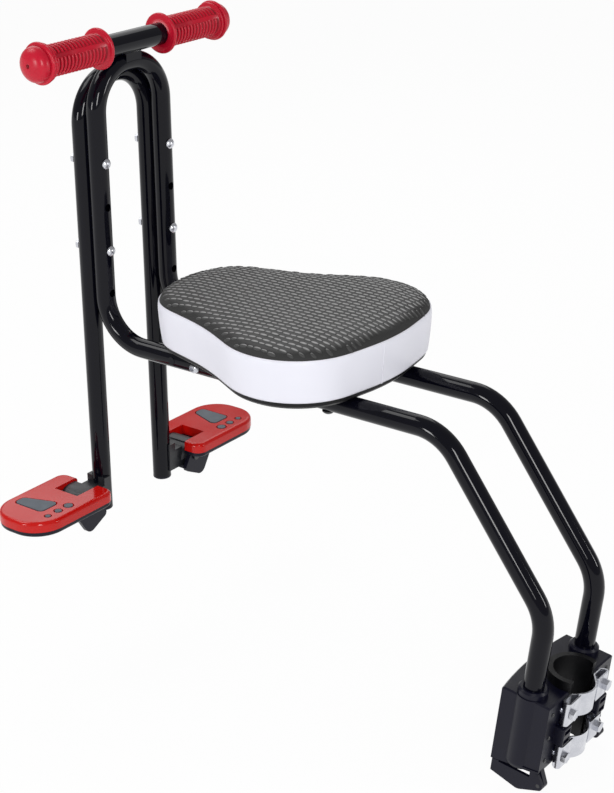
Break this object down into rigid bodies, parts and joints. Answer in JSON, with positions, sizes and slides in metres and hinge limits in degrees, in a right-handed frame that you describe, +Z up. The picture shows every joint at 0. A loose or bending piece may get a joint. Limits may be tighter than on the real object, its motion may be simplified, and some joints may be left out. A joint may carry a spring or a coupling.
{
  "type": "kids handlebar bike seat",
  "caption": "Child seat that clamps to a bicycle's seat tube: padded saddle on bent tubes, its own handlebar with grips, folding footrests and a strap clamp with a release lever.",
  "frame": {"origin": "centre of the seat-tube clamp's bore", "axes": "+X forward, towards the seat's own handlebar; +Y to the rider's left; +Z up. The clamp's bore leans seven degrees, its top to the rear."},
  "size_m": [0.6094, 0.364, 0.6568],
  "materials": {
    "black_paint": "gloss black powder coat",
    "zinc": "bright zinc plate",
    "black_oxide": "black oxide on steel",
    "red_rubber": "moulded soft red rubber",
    "red_plastic": "gloss red moulding",
    "grey_inlay": "grey rubber inlay",
    "black_plastic": "black glass-filled nylon",
    "liner_rubber": "black rubber",
    "cushion_cover": "dark woven top with a white side band",
    "board": "plywood under black cloth"
  },
  "bodies": {
    "frame": {"back_covers": "black_plastic", "board_bolts": "black_oxide", "clamp_block": "black_plastic", "clamp_liner": "liner_rubber", "cover_screws": "black_oxide", "footrest_tube": "black_paint", "frame_bolts": "zinc", "frame_nuts": "zinc", "front_frame_tube": "black_paint", "handlebar_saddle": "black_paint", "handlebar_tube": "black_paint", "joint_bolts": "zinc", "joint_nuts": "zinc", "joint_rivets": "black_paint", "joint_sleeves": "zinc", "left_footrest_bracket": "black_paint", "left_grip": "red_rubber", "left_hinge_pin": "black_oxide", "left_rear_tube": "black_paint", "leg_plugs": "black_plastic", "lever_pins": "black_oxide", "lower_strap": "zinc", "right_footrest_bracket": "black_paint", "right_grip": "red_rubber", "right_hinge_pin": "black_oxide", "right_rear_tube": "black_paint", "seat_board": "board", "seat_cushion": "cushion_cover", "strap_bolts": "zinc", "strap_inserts": "zinc", "tee_nuts": "zinc", "tube_collars": "black_plastic", "upper_strap": "zinc"},
    "left_footrest": {"left_footrest_shell": "red_plastic", "left_footrest_base": "black_plastic", "left_footrest_inlays": "grey_inlay", "left_footrest_screws": "black_oxide"},
    "right_footrest": {"right_footrest_shell": "red_plastic", "right_footrest_base": "black_plastic", "right_footrest_inlays": "grey_inlay", "right_footrest_screws": "black_oxide"},
    "release_lever": {"release_lever": "black_plastic"}
  },
  "joints": [
    {"name": "left_footrest_fold", "type": "hinge", "parent": "frame", "child": "left_footrest", "pos_m": [0.54498, 0.0815, 0.09282], "axis": [1, 0, 0], "range_deg": [0, 90]},
    {"name": "right_footrest_fold", "type": "hinge", "parent": "frame", "child": "right_footrest", "pos_m": [0.54498, -0.0815, 0.09282], "axis": [-1, 0, 0], "range_deg": [0, 90]},
    {"name": "release_lever_pull", "type": "hinge", "parent": "frame", "child": "release_lever", "pos_m": [-0.00411, 0, -0.05269], "axis": [0, 1, 0], "range_deg": [0, 35], "stiffness_Nm_per_rad": 0.2, "springref_deg": -22.92}
  ]
}
